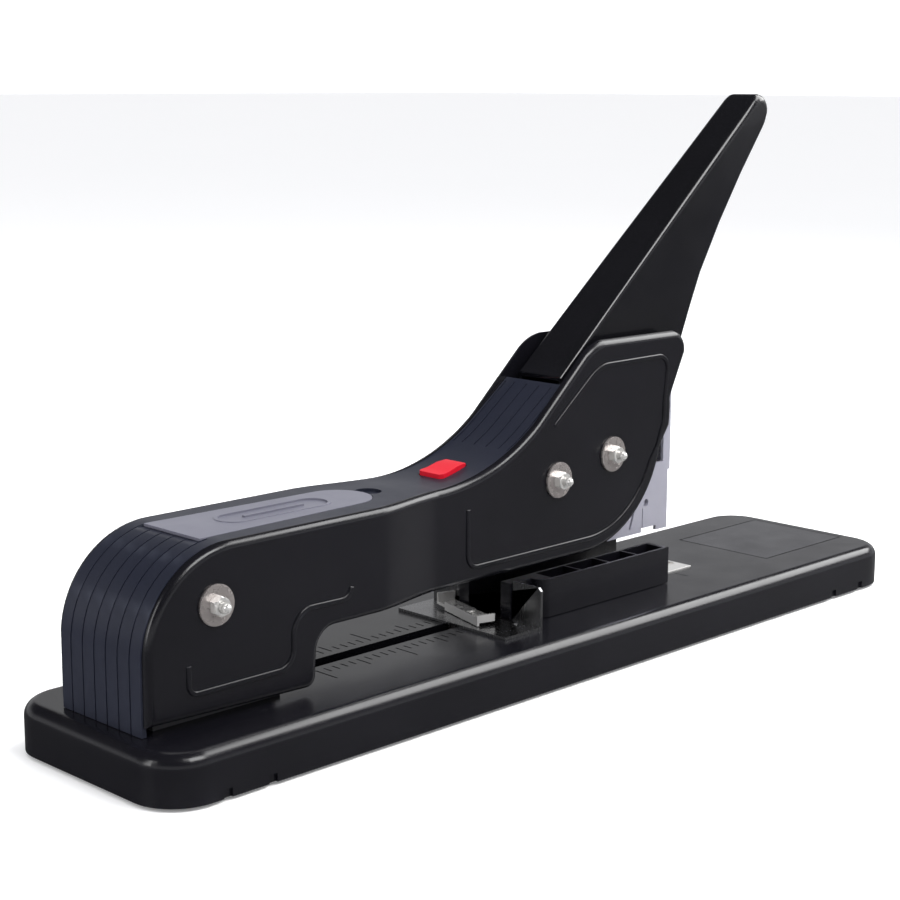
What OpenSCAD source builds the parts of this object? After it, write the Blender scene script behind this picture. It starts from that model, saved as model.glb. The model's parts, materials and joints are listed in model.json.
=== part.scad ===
// Long-reach bench stapler with a swinging inner arm, a front-loading magazine,
// a pressing handle and a sliding depth stop.
// Frame: X runs from the column to the front, Y across, Z up.
// The origin is on the table, below the middle of the base.

/* [Base] */
// Length of the base along X, mm
base_length = 519; // [460:1:580]
// Width of the base across Y, mm
base_width = 117; // [105:1:140]
// Height of the base shell, mm
base_height = 22; // [19:0.5:26]
// Radius of the four upright corners, mm
corner_radius = 22; // [15:1:30]
// Radius of the rounded top edge, mm
top_edge_radius = 6.5; // [4:0.5:8]
// Wall of the base shell, mm
base_wall = 3; // [2:0.5:4]
// How far the feet stand out below the shell, mm
foot_height = 1.5; // [1:0.5:3]
// Half width of the guide slot, mm
slot_half_width = 4.5; // [3.5:0.5:6]

/* [Ruler] */
// Spacing of the ruler grooves, mm
tick_pitch = 5; // [5:5:10]
// Distance of the last groove from the staple line, mm
ruler_reach = 250; // [200:5:250]

/* [Column and cheeks] */
// Half width of the body at the column, over the cheeks, mm
rear_half_width = 32; // [30:0.5:36]
// Half width of the body at the front, over the cheeks, mm
front_half_width = 24; // [23:0.5:28]
// Thickness of a cheek, mm
cheek_thickness = 3.8; // [3:0.2:4.4]
// Height of the flat top of the body above the table, mm
body_top = 99.2; // [94:0.2:110]
// X of the rear face of the column, mm
column_rear = -249; // [-252:1:-245]
// X of the rear bolt, mm
rear_bolt_x = -213; // [-216:1:-210]
// Height of the rear bolt, mm
rear_bolt_z = 73.8; // [70:0.2:76]

/* [Bolts] */
// Diameter of the three bolts, mm
bolt_diameter = 5; // [4:0.5:6]
// Diameter of the large washers, mm
washer_diameter = 18; // [16:1:20]
// Thickness of the washers, mm
washer_thickness = 1.4; // [1.2:0.2:2]
// Width of the nuts across their flats, mm
nut_width = 8; // [7:0.5:10]
// Height of the nuts, mm
nut_height = 3.6; // [3:0.2:5]
// Clearance of bolts and pins in their holes, on the radius, mm
pin_clearance = 0.1; // [0.05:0.05:0.2]

/* [Handle] */
// X of the handle bolt, mm
handle_bolt_x = 7; // [5:1:9]
// Height of the handle bolt, mm
handle_bolt_z = 92.6; // [91:0.2:95]
// Angle of the handle at rest above level, degrees
handle_angle = 40; // [39:1:42]
// Length of the top of the handle, mm
handle_length = 211.5; // [190:0.5:230]
// Half width of the handle at its foot, mm
handle_foot_half = 14.6; // [14:0.2:16]
// Half width of the handle at its tip, mm
handle_tip_half = 11.4; // [10:0.2:13]
// Sheet thickness of the handle, mm
handle_wall = 2; // [1.5:0.1:2.5]

/* [Head and magazine] */
// X of the staple line, where the driver comes down, mm
staple_line = 111; // [109:1:113]
// Height of the underside of the head at rest, mm
head_bottom = 49.4; // [47:0.2:53]
// Half width of the inner arm and head, mm
head_half_width = 10; // [9.6:0.1:10.4]
// Wall of the inner arm and head, mm
head_wall = 1.7; // [1.4:0.1:2]
// Half of the staple crown, mm
crown_half = 6.4; // [6:0.1:6.5]
// Leg length of the staples, mm
staple_leg = 23; // [17:1:24]
// Thickness of the staple wire, mm
staple_wire = 1; // [0.8:0.1:1.2]
// Length of the staple strip in the magazine, mm
strip_length = 60; // [30:1:80]
// Downward travel of the driver, mm
driver_stroke = 27.5; // [24:0.5:28]

/* [Depth stop] */
// X of the face the paper meets, mm
stop_face = 95; // [90:1:96]
// Length of the stop block along X, mm
stop_length = 100; // [80:1:110]
// Height of the stop block, mm
stop_height = 19.9; // [16:0.1:21]
// Half width over the two wings of the stop, mm
stop_half_width = 25; // [22:0.5:30]
// Half width of the gap between the wings, mm
stop_gap_half = 11; // [10.8:0.1:12]

/* [Hidden] */
$fn = 64;
deck = foot_height + base_height;
half_length = base_length / 2;
half_width = base_width / 2;
side_height = base_height - top_edge_radius;
guide_bolt_x = 48;
guide_bolt_z = 100;
cheek_inset = 0.8;
joggle_rear = -116;
joggle_front = -78;
cheek_bottom = 51.2;
cover_gap = 0.2;
slide_gap = 0.3;
cover_shell = 2.4;
rear_inner = rear_half_width - cheek_thickness;
front_inner = front_half_width - cheek_thickness;
arm_top = 79.7;
magazine_inner = crown_half + 0.3;
magazine_outer = head_half_width - head_wall - 0.3;
magazine_floor = head_bottom + 1.8;
leg_bottom = magazine_floor + 1.3;
crown_top = leg_bottom + staple_leg + staple_wire;
magazine_rear = staple_line - 171;
blade_thickness = 1;
blade_x = staple_line - blade_thickness;
strip_front = blade_x - 0.2;
black = [0.09, 0.09, 0.11];
slate = [0.25, 0.27, 0.34];
zinc = [0.78, 0.78, 0.82];
chrome = [0.85, 0.86, 0.88];
steel = [0.62, 0.63, 0.66];
dark_steel = [0.3, 0.31, 0.33];

// Node to show, or all of them

// ---- helpers ----

// points of an arc about a centre, angles in degrees, both ends included
function arc(cx, cz, r, a0, a1, n = 8) =
    [for (i = [0 : n]) [cx + r * cos(a0 + (a1 - a0) * i / n), cz + r * sin(a0 + (a1 - a0) * i / n)]];

// left-hand normal of a path at point i
function path_normal(p, i) =
    let (a = p[max(i - 1, 0)], b = p[min(i + 1, len(p) - 1)], d = b - a)
    [-d[1], d[0]] / norm(d);

// closed band of a given width laid along an open path
function band(p, w) = concat(
    [for (i = [0 : len(p) - 1]) p[i] + path_normal(p, i) * w / 2],
    [for (i = [len(p) - 1 : -1 : 0]) p[i] - path_normal(p, i) * w / 2]);

// path moved sideways, to its left for a positive distance
function shift_path(p, d) = [for (i = [0 : len(p) - 1]) p[i] + path_normal(p, i) * d];

// straight solid across Y from a side view drawn in X and Z
module across(y0, y1) {
    translate([0, y1, 0])
        rotate([90, 0, 0])
            linear_extrude(y1 - y0)
                children();
}

// cylinder across Y
module bar(x, z, d, y0, y1) {
    translate([x, y1, z])
        rotate([90, 0, 0])
            cylinder(d = d, h = y1 - y0);
}

// box from one corner to the opposite one
module block(low, high) {
    translate(low)
        cube(high - low);
}

// upright coil spring made of stacked rings joined by a thin back strip
module coil(x, y, z0, z1, outer, wire, turns) {
    pitch = (z1 - z0 - wire) / (turns - 1);
    translate([x, y, z0]) {
        for (i = [0 : turns - 1])
            translate([0, 0, wire / 2 + pitch * i])
                rotate_extrude($fn = 32)
                    translate([(outer - wire) / 2, 0])
                        circle(d = wire, $fn = 16);
        translate([-outer / 2 + wire * 0.2, -wire * 0.3, wire / 2])
            cube([wire * 0.6, wire * 0.6, z1 - z0 - wire]);
    }
}

// ---- base ----

// rounded slab with a rounded top edge, its bottom at z = 0
module slab(l, w, r, h, edge) {
    side = h - edge;
    module wall_profile(half) {
        translate([-half, 0])
            square([2 * half, side]);
        translate([-half + edge, side])
            square([2 * (half - edge), edge]);
        for (s = [-1, 1])
            translate([s * (half - edge), side])
                circle(edge);
    }
    module upper(half)
        intersection() {
            wall_profile(half);
            translate([-half, 0])
                square([2 * half, h]);
        }
    rotate([90, 0, 90])
        translate([0, 0, -l / 2 + r])
            linear_extrude(l - 2 * r)
                upper(w / 2);
    rotate([90, 0, 0])
        translate([0, 0, -w / 2 + r])
            linear_extrude(w - 2 * r)
                upper(l / 2);
    for (sx = [-1, 1], sy = [-1, 1])
        translate([sx * (l / 2 - r), sy * (w / 2 - r), 0])
            rotate_extrude()
                intersection() {
                    upper(r);
                    square([r, h]);
                }
}

// rounded plate with square edges
module plate(l, w, r, h) {
    translate([-l / 2 + r, -w / 2, 0])
        cube([l - 2 * r, w, h]);
    translate([-l / 2, -w / 2 + r, 0])
        cube([l, w - 2 * r, h]);
    for (sx = [-1, 1], sy = [-1, 1])
        translate([sx * (l / 2 - r), sy * (w / 2 - r), 0])
            cylinder(r = r, h = h);
}

// places of the mould notches along each long side
notch_places = [-half_length + 30.5, -half_length + 54, half_length - 57, half_length - 31];
foot_places = [-half_length + 42, half_length - 44];
screw_places = [-half_length + 20, -80, 80, half_length - 20];
slot_front = staple_line - 31;
slot_rear = column_rear + 91;
bracket_x = [-236, -176];
bracket_y = 18.6;

module base_housing() {
    color(black)
        translate([0, 0, foot_height])
            difference() {
                union() {
                    difference() {
                        slab(base_length, base_width, corner_radius, base_height, top_edge_radius);
                        translate([0, 0, -1])
                            plate(base_length - 2 * base_wall, base_width - 2 * base_wall,
                                  corner_radius - base_wall, base_height - base_wall - top_edge_radius + 3.5);
                    }
                    for (x = screw_places, s = [-1, 1])
                        translate([x, s * (half_width - 14), 1.5])
                            cylinder(d = 9, h = base_height - base_wall - 2);
                    for (x = [-120 : 60 : 120])
                        block([x - 1, -half_width + 2, 4], [x + 1, half_width - 2, base_height - 4]);
                    block([slot_rear - 3, -slot_half_width - 3, 9],
                          [slot_front + 3, slot_half_width + 3, base_height - 1]);
                    for (x = bracket_x, s = [-1, 1])
                        translate([x, s * bracket_y, 1.5])
                            cylinder(d = 10, h = base_height - 3);
                    for (x = [staple_line - 9, staple_line + 15])
                        translate([x, 0, 1.5])
                            cylinder(d = 9, h = base_height - 3);
                }
                // guide slot with a wider run for the key
                block([slot_rear, -slot_half_width, 14], [slot_front, slot_half_width, base_height + 1]);
                block([slot_rear, -slot_half_width - 1.5, 12],
                      [slot_front, slot_half_width + 1.5, 15.5]);
                // screw holes
                for (x = screw_places, s = [-1, 1])
                    translate([x, s * (half_width - 14), 1])
                        cylinder(d = 3.2, h = 13);
                for (x = bracket_x, s = [-1, 1])
                    translate([x, s * bracket_y, 1])
                        cylinder(d = 4.4, h = base_height);
                for (x = [staple_line - 9, staple_line + 15])
                    translate([x, 0, 8])
                        cylinder(d = 3.4, h = base_height);
                // seat of the anvil
                block([staple_line - 14.2, -12.9, base_height - 1.2],
                      [staple_line + 19.9, 12.9, base_height + 1]);
                // mould notches
                for (x = notch_places, s = [-1, 1])
                    translate([x, s * half_width, 1.8])
                        cube([4.4, 2.4, 4.4], center = true);
                // ruler grooves on both sides of the slot
                for (i = [0 : 22], s = [-1, 1]) {
                    x = staple_line - ruler_reach + tick_pitch * i;
                    run = i % 10 == 0 ? 14.8 : i % 5 == 0 ? 9.8 : 5.4;
                    translate([x, s * (8.6 + run / 2), base_height])
                        cube([0.9, run, 0.8], center = true);
                }
                // front mark beside the anvil
                for (s = [-1, 1])
                    translate([staple_line + 3, s * 18.5, base_height])
                        cube([0.7, 10, 0.8], center = true);
                // outline of the label panel
                translate([half_length - 47, 0, base_height])
                    difference() {
                        cube([74, 62, 0.6], center = true);
                        cube([72.4, 60.4, 2], center = true);
                    }
            }
}

module base_plate() {
    color(dark_steel)
        translate([0, 0, foot_height])
            difference() {
                plate(base_length - 2 * base_wall - 0.6, base_width - 2 * base_wall - 0.6,
                      corner_radius - base_wall - 0.3, 1.4);
                for (x = screw_places, s = [-1, 1])
                    translate([x, s * (half_width - 14), -1])
                        cylinder(d = 3.6, h = 5);
                for (x = bracket_x, s = [-1, 1])
                    translate([x, s * bracket_y, -1])
                        cylinder(d = 4.4, h = 5);
            }
}

module feet() {
    color([0.12, 0.12, 0.12])
        for (x = foot_places, s = [-1, 1])
            translate([x, s * (half_width - 15), 0]) {
                cylinder(d = 17, h = foot_height - 0.5);
                translate([0, 0, foot_height - 0.5])
                    cylinder(d = 15.5, h = 0.5);
            }
}

// pan head screw pointing up, its head below z
module screw_up(x, y, z, head, shank, depth) {
    translate([x, y, z]) {
        difference() {
            translate([0, 0, -1.2])
                cylinder(d = head, h = 1.2);
            for (a = [0, 90])
                rotate([0, 0, a])
                    translate([-head * 0.28, -0.4, -1.3])
                        cube([head * 0.56, 0.8, 0.8]);
        }
        cylinder(d = shank, h = depth);
    }
}

module base_screws() {
    color(steel)
        for (x = screw_places, s = [-1, 1])
            screw_up(x, s * (half_width - 14), foot_height, 6.5, 3, 11);
}

module anvil_plate() {
    z0 = deck - 1.2;
    color(chrome)
        difference() {
            block([staple_line - 14, -12.7, z0], [staple_line + 19.6, 12.7, deck + 0.9]);
            for (s = [-1, 1])
                translate([staple_line, s * 3.6, deck + 0.9])
                    cube([2.2, 6.2, 1.2], center = true);
            for (x = [staple_line - 9, staple_line + 15])
                translate([x, 0, z0 - 1]) {
                    cylinder(d = 3.4, h = 6);
                    translate([0, 0, 1.7])
                        cylinder(d = 6.6, h = 4);
                }
        }
}

module anvil_screws() {
    color(steel)
        for (x = [staple_line - 9, staple_line + 15])
            translate([x, 0, 0])
                difference() {
                    union() {
                        translate([0, 0, deck - 0.4])
                            cylinder(d = 6.2, h = 1.1);
                        translate([0, 0, deck - 11])
                            cylinder(d = 3.2, h = 11);
                    }
                    block([-2.2, -0.4, deck + 0.1], [2.2, 0.4, deck + 2]);
                }
}

// ---- column ----

module column_bracket() {
    y0 = 11.6;
    color(dark_steel)
        difference() {
            union() {
                block([-240, -23, deck], [-172, 23, deck + 2.5]);
                // arms and pads that the cheeks are riveted to
                for (s = [-1, 1]) {
                    block([-226, s > 0 ? y0 : -rear_inner + 0.1, deck + 9],
                          [-196, s > 0 ? rear_inner - 0.1 : -y0, deck + 11.5]);
                    block([-226, s > 0 ? rear_inner - 2.6 : -rear_inner + 0.1, deck + 9],
                          [-196, s > 0 ? rear_inner - 0.1 : -rear_inner + 2.6, deck + 26]);
                }
                for (s = [-1, 1])
                    across(s > 0 ? y0 : -y0 - 2.5, s > 0 ? y0 + 2.5 : -y0)
                        polygon(concat([[-240, deck], [-174, deck], [-174, deck + 12]],
                                       arc(rear_bolt_x, rear_bolt_z, 12, 10, 150, 10),
                                       [[-240, deck + 26]]));
            }
            bar(rear_bolt_x, rear_bolt_z, bolt_diameter + 2 * pin_clearance, -30, 30);
            for (x = bracket_x, s = [-1, 1])
                translate([x, s * bracket_y, deck - 1])
                    cylinder(d = 4.4, h = 6);
        }
}

module bracket_screws() {
    color(steel)
        for (x = bracket_x, s = [-1, 1]) {
            screw_up(x, s * bracket_y, foot_height, 7.5, 4, deck - foot_height + 5.6);
            translate([x, s * bracket_y, deck + 2.5])
                rotate([0, 0, 30])
                    difference() {
                        cylinder(d = 8, h = 2.8, $fn = 6);
                        translate([0, 0, -1])
                            cylinder(d = 4, h = 5);
                    }
        }
}

// side view of a cheek; inset shrinks it evenly
function cheek_outline(inset = 0) =
    let (i = inset)
    concat(
        arc(column_rear + cheek_inset + 45.5, body_top - 45.5, 45.5 - i, 175, 90, 14),
        arc(joggle_front + 3, body_top + 112, 112 + i, 270, 307.5, 12),
        arc(44.5, 130.5, 28.3 - i, 127.5, 96, 6),
        arc(97, 147.8, 10.5 - i, 82, -8, 7),
        arc(30, 118, 66.5 - i, 5, -8, 3),
        arc(30, 111.2, 60 - i, -12, -90, 14),
        arc(-146.5, cheek_bottom - 10.5, 10.5 + i, 90, 180, 6),
        arc(-163, cheek_bottom - 20, 5.5 - i, 0, -85, 5),
        [[column_rear + cheek_inset + i, deck + 4.6 + i]]);

// plan view of one cheek on the far side, from an inner to an outer half width
function cheek_plan(y_in, y_out) =
    [[-260, y_in], [joggle_rear, y_in], [joggle_front, y_in - rear_half_width + front_half_width],
     [130, y_in - rear_half_width + front_half_width],
     [130, y_out - rear_half_width + front_half_width],
     [joggle_front, y_out - rear_half_width + front_half_width], [joggle_rear, y_out], [-260, y_out]];

module cheek_layer(y_in, y_out, inset) {
    intersection() {
        across(-40, 40)
            polygon(cheek_outline(inset));
        linear_extrude(200)
            polygon(cheek_plan(y_in, y_out));
    }
}

// raised line of the rear panel
rear_line = concat([[-227.6, 50.5]], arc(-223.2, 42.2, 4.4, 180, 270, 5),
                   [[-206, 37.8]], arc(-180, 46.5, 8.7, 270, 352, 6),
                   arc(-160.5, 51.8, 10.8, 175, 98, 6), arc(-143.6, 68.4, 6.2, 270, 350, 5));
// raised line of the front panel
front_line = concat([[-56.3, 87.5]], arc(-50, 65.2, 6.4, 180, 270, 5), [[-13, 58.8], [22, 58.8]],
                    arc(30, 111.2, 52.4, -88, -22, 14), [[84.5, 100]], arc(30, 118, 59.5, -6, 3, 2),
                    arc(84, 139, 7.5, 0, 85, 5), arc(46, 121.5, 25, 97, 128, 6),
                    [[16, 129.6], [4, 120]]);

module cheek_solid() {
    difference() {
        union() {
            cheek_layer(rear_inner, rear_half_width - 1.3, 0);
            cheek_layer(rear_half_width - 1.3, rear_half_width - 0.5, 0.8);
            cheek_layer(rear_half_width - 0.5, rear_half_width, 2.2);
            across(rear_half_width, rear_half_width + 0.5)
                polygon(band(rear_line, 1.8));
            across(front_half_width, front_half_width + 0.5)
                polygon(band(front_line, 1.8));
        }
        bar(rear_bolt_x, rear_bolt_z, bolt_diameter + 2 * pin_clearance, 0, 50);
        bar(handle_bolt_x, handle_bolt_z, bolt_diameter + 2 * pin_clearance, 0, 50);
        bar(guide_bolt_x, guide_bolt_z, bolt_diameter + 2 * pin_clearance, 0, 50);
    }
}

module cheek_far() {
    color(black)
        cheek_solid();
}

module cheek_near() {
    color(black)
        mirror([0, 1, 0])
            cheek_solid();
}

// outer line of the top cover from the rear foot to the handle
cover_path = concat([[column_rear, deck + 0.2], [column_rear, 40]],
                    arc(column_rear + 46, body_top - 46, 46, 180, 90, 16),
                    arc(joggle_front + 5, body_top + 110, 110, 270, 307.5, 14),
                    [[16.2, 138.2]]);
button_x = -49.5;
button_z = body_top + 4;
shelf_z = 86;
lid_rear = -211;
lid_front = -99;
lid_rear_half = 19.6;
lid_front_half = 16.6;
lid_thickness = 1.4;

// plan of the lid; grow widens it evenly
module lid_plan(grow = 0) {
    polygon([[lid_rear - grow, -lid_rear_half - grow], [-118, -lid_front_half - grow],
             [-118, lid_front_half + grow], [lid_rear - grow, lid_rear_half + grow]]);
    intersection() {
        translate([-118, 0])
            circle(r = lid_front_half + grow);
        translate([-118, -30])
            square([lid_front + 118 + grow, 60]);
    }
}

function cover_plan(g) =
    [[-260, -rear_inner + g], [joggle_rear, -rear_inner + g], [joggle_front, -front_inner + g],
     [60, -front_inner + g], [60, front_inner - g], [joggle_front, front_inner - g],
     [joggle_rear, rear_inner - g], [-260, rear_inner - g]];

module top_cover() {
    inner = shift_path(cover_path, -cover_shell);
    groove = shift_path(cover_path, -0.5);
    color(slate)
        difference() {
            intersection() {
                across(-40, 40)
                    polygon(concat(cover_path, [for (i = [len(inner) - 1 : -1 : 0]) inner[i]]));
                linear_extrude(200)
                    polygon(cover_plan(cover_gap));
            }
            // grooves of the rear and of the front
            for (y = [-20.7, -12.4, -4.1, 4.1, 12.4, 20.7])
                intersection() {
                    across(y - 0.4, y + 0.4)
                        difference() {
                            translate([-255, deck - 1])
                                square([47, 100]);
                            polygon(concat(groove, [[16.2, 0], [column_rear + 0.5, 0]]));
                        }
                }
            for (y = [-18.4, -12.3, -4.1, 4.1, 12.3, 18.4])
                across(y - 0.4, y + 0.4)
                    difference() {
                        translate([-24, body_top])
                            square([38, 60]);
                        polygon(concat(groove, [[16.2, 0], [column_rear + 0.5, 0]]));
                    }
            // seat and well of the lid
            translate([0, 0, body_top - 1.4])
                linear_extrude(10)
                    lid_plan(0.3);
            block([lid_rear - 9, -lid_rear_half - 0.3, body_top - 1.4],
                  [lid_rear + 1, lid_rear_half + 0.3, body_top + 6]);
            translate([-193, -14.4, body_top - 10])
                cube([77, 28.8, 20]);
            // finger notch at the front of the lid
            translate([lid_front + 0.5, 0, body_top - 1.4])
                cylinder(d = 13, h = 6);
            // opening of the button
            translate([button_x, 0, 80])
                linear_extrude(60)
                    button_plan(0.4);
        }
    // shelf below the button, hung from the cover
    color(slate)
        for (s = [-1, 1]) {
            block([button_x - 14, s > 0 ? 0 : -front_inner + 1, shelf_z],
                  [button_x + 4, s > 0 ? front_inner - 1 : 0, shelf_z + 1.5]);
            block([button_x - 14, s > 0 ? 17.4 : -front_inner + 1, shelf_z],
                  [button_x + 4, s > 0 ? front_inner - 1 : -17.4, body_top - 1.2]);
        }
}

module staple_tray() {
    z0 = body_top - 15;
    color([0.2, 0.2, 0.23])
        difference() {
            block([-195, -16.4, z0], [-114, 16.4, body_top - cover_shell]);
            block([-193, -14.4, z0 + 1.6], [-116, 14.4, body_top + 1]);
        }
}

// plan of the button about its middle
module button_plan(grow = 0) {
    polygon([[-9 - grow, -6.6 - grow], [-7.2 - grow / 2, -8 - grow], [9 + grow, -6.8 - grow],
             [9 + grow, 6.8 + grow], [-7.2 - grow / 2, 8 + grow], [-9 - grow, 6.6 + grow]]);
}

module release_button() {
    color([0.8, 0.05, 0.1])
        translate([button_x, 0, 0]) {
            intersection() {
                translate([0, 0, button_z - 9])
                    linear_extrude(14)
                        button_plan();
                across(-10, 10)
                    polygon([[-12, button_z - 7.6], [12, button_z - 7.6], [12, button_z + 2.5],
                             [3, button_z + 1.6], [-3, button_z - 0.2], [-12, button_z - 1.4]]);
            }
            translate([0, 0, button_z - 7.6])
                linear_extrude(1.6)
                    button_plan(1.6);
            // stem that reaches down to the latch
            translate([stem_x - button_x, 0, stem_low])
                cylinder(d = 3.6, h = button_z - 7 - stem_low);
        }
}

module button_spring() {
    color(steel)
        coil(button_x - 4.5, 0, shelf_z + 1.5, button_z - 7.6, 7.6, 0.8, 4);
}

// ---- bolts ----

thread_reach = 2.7;

module through_bolt(x, z, half) {
    reach = half + washer_thickness + nut_height;
    difference() {
        bar(x, z, bolt_diameter, -reach - thread_reach, reach + thread_reach);
        for (s = [-1, 1], k = [0.3, 1.2, 2.1])
            translate([x, s * (reach + k + 0.2), z])
                rotate([90, 0, 0])
                    difference() {
                        cylinder(d = bolt_diameter + 2, h = 0.4, center = true);
                        cylinder(d = bolt_diameter - 0.9, h = 1, center = true);
                    }
    }
    for (s = [-1, 1])
        translate([x, s * (reach + thread_reach), z])
            intersection() {
                sphere(d = bolt_diameter - 1.2);
                translate([-5, s > 0 ? -0.1 : -9.9, -5])
                    cube([10, 10, 10]);
            }
}

module rear_bolt() {
    color(chrome)
        through_bolt(rear_bolt_x, rear_bolt_z, rear_half_width);
}

module handle_bolt() {
    color(chrome)
        through_bolt(handle_bolt_x, handle_bolt_z, front_half_width);
}

module guide_bolt() {
    color(chrome)
        through_bolt(guide_bolt_x, guide_bolt_z, front_half_width);
}

bolt_list = [[rear_bolt_x, rear_bolt_z, rear_half_width],
             [handle_bolt_x, handle_bolt_z, front_half_width],
             [guide_bolt_x, guide_bolt_z, front_half_width]];

module washers() {
    color(chrome)
        for (b = bolt_list, s = [-1, 1])
            difference() {
                bar(b[0], b[1], washer_diameter, s > 0 ? b[2] : -b[2] - washer_thickness,
                    s > 0 ? b[2] + washer_thickness : -b[2]);
                bar(b[0], b[1], bolt_diameter + 2 * pin_clearance, -60, 60);
            }
}

module hex_nuts() {
    color(chrome)
        for (b = bolt_list, s = [-1, 1])
            translate([b[0], s * (b[2] + washer_thickness), b[1]])
                rotate([-90 * s, 0, 0])
                    difference() {
                        intersection() {
                            rotate([0, 0, 30])
                                cylinder(d = nut_width / cos(30), h = nut_height, $fn = 6);
                            translate([0, 0, -2])
                                cylinder(r1 = nut_width * 0.85, r2 = nut_width * 0.5, h = nut_height + 2);
                        }
                        translate([0, 0, -1])
                            cylinder(d = bolt_diameter + 2 * pin_clearance, h = nut_height + 2);
                    }
}

// tubes that hold the cheeks apart
module spacer_tubes() {
    color(steel)
        for (s = [-1, 1]) {
            tube(rear_bolt_x, rear_bolt_z, s, 14.3, rear_inner - 0.1);
            tube(handle_bolt_x, handle_bolt_z, s, handle_foot_half + 0.3, front_inner - 0.1);
            tube(guide_bolt_x, guide_bolt_z, s, 0, front_inner - 0.1);
        }
}

module tube(x, z, s, y0, y1) {
    difference() {
        bar(x, z, 10, s > 0 ? y0 : -y1, s > 0 ? y1 : -y0);
        bar(x, z, bolt_diameter + 2 * pin_clearance, -60, 60);
    }
}

// ---- lid ----

lid_top = body_top - 1.3 + lid_thickness;

module lid() {
    color([0.42, 0.43, 0.5, 0.75])
        difference() {
            union() {
                translate([0, 0, body_top - 1.3])
                    linear_extrude(lid_thickness)
                        lid_plan();
                // raised rim of the finger grip
                translate([-155, 0, lid_top - 0.1])
                    grip_oval(31, 9, 0.5);
            }
            translate([-155, 0, lid_top - 0.5])
                grip_oval(29.4, 7.4, 3);
            // notch for the finger at the front
            translate([lid_front + 3, 0, body_top - 3])
                cylinder(d = 9, h = 9);
        }
    // ridge the finger pushes against
    color([0.42, 0.43, 0.5, 0.75])
        block([-172, -1, lid_top - 0.9], [-138, 1, lid_top + 0.4]);
}

module grip_oval(half_l, half_w, h) {
    for (s = [-1, 1])
        translate([s * (half_l - half_w), 0, 0])
            cylinder(r = half_w, h = h);
    translate([-half_l + half_w, -half_w, 0])
        cube([2 * (half_l - half_w), 2 * half_w, h]);
}

// ---- handle ----

foot_x = 18.8;
foot_z = 141.6;
tip_x = foot_x + handle_length * cos(handle_angle);
tip_z = foot_z + handle_length * sin(handle_angle);
drive_x = staple_line - 11;
drive_z = handle_bolt_z + 25.25;
drive_diameter = 6;
handle_swing = 30.4;
guide_reach = norm([guide_bolt_x - handle_bolt_x, guide_bolt_z - handle_bolt_z]);
guide_start = atan2(guide_bolt_z - handle_bolt_z, guide_bolt_x - handle_bolt_x);

handle_side = concat([[foot_x, foot_z]],
                     arc(tip_x + 3, tip_z - 5.8, 7.4, 130, -35, 8),
                     [[166, 237.5], [147.6, 212], [131.2, 186], [122.6, 168], [114.5, 150], [109.5, 136]],
                     arc(drive_x, drive_z, 6.4, 0, -70, 6),
                     [[72, 99], [58, 88.5], [44, 85]],
                     arc(handle_bolt_x, handle_bolt_z, 12.5, -60, -205, 8),
                     [[11, 118], [19.6, 138]]);

// tapered prism whose side faces follow the narrowing handle
module handle_taper(inset, lift) {
    l = handle_length + 30;
    slope = (handle_foot_half - handle_tip_half) / handle_length;
    translate([foot_x, 0, foot_z])
        rotate([0, -handle_angle, 0])
            translate([0, 0, -200 - lift])
                linear_extrude(200)
                    polygon([[-120, -handle_foot_half + inset], [0, -handle_foot_half + inset],
                             [l, -handle_foot_half + slope * l + inset],
                             [l, handle_foot_half - slope * l - inset],
                             [0, handle_foot_half - inset], [-120, handle_foot_half - inset]]);
}

module handle() {
    color(black)
        difference() {
            intersection() {
                across(-20, 20)
                    polygon(handle_side);
                handle_taper(0, -3);
            }
            intersection() {
                handle_taper(handle_wall, handle_wall);
                across(-20, 20)
                    polygon(concat([[foot_x - 30, foot_z - 28]],
                                   [[tip_x - 1, tip_z - 1]],
                                   [[tip_x + 4, tip_z - 6], [300, 200], [140, 40], [-40, 40]]));
            }
            bar(handle_bolt_x, handle_bolt_z, bolt_diameter + 2 * pin_clearance, -20, 20);
            bar(drive_x, drive_z, drive_diameter + 2 * pin_clearance, -20, 20);
            // curved slot that runs along the tube of the guide bolt
            across(-20, 20)
                polygon(concat(
                    arc(handle_bolt_x, handle_bolt_z, guide_reach + 5.4, guide_start,
                        guide_start + handle_swing, 12),
                    slot_end(guide_start + handle_swing, 0),
                    arc(handle_bolt_x, handle_bolt_z, guide_reach - 5.4, guide_start + handle_swing,
                        guide_start, 12),
                    slot_end(guide_start, 180)));
        }
}

// rounded end of the curved slot at angle a about the handle bolt
function slot_end(a, turn) =
    arc(handle_bolt_x + guide_reach * cos(a), handle_bolt_z + guide_reach * sin(a), 5.4,
        a + turn, a + turn + 180, 8);

// torsion spring on the handle bolt, between the flanges
module handle_spring() {
    color(steel) {
        for (s = [-1, 1])
            translate([handle_bolt_x, s * 7.4, handle_bolt_z])
                rotate([90, 0, 0])
                    for (k = [-1.5 : 1 : 1.5])
                        translate([0, 0, k * 1.7])
                            rotate_extrude($fn = 32)
                                translate([4.6, 0])
                                    circle(d = 1.8, $fn = 16);
        for (s = [-1, 1])
            block([handle_bolt_x - 0.8, s * 7.4 - 3.2, handle_bolt_z + 3.8],
                  [handle_bolt_x + 0.8, s * 7.4 + 3.2, handle_bolt_z + 5.4]);
        block([handle_bolt_x - 34, -5.2, handle_bolt_z + 3.6],
              [handle_bolt_x, 5.2, handle_bolt_z + 5]);
    }
}

module drive_pin() {
    color(chrome)
        bar(drive_x, drive_z, drive_diameter, -handle_foot_half + 0.4, handle_foot_half - 0.4);
}

// ---- inner arm and head ----

arm_rear = -222;
arm_front = staple_line - 49;

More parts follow.
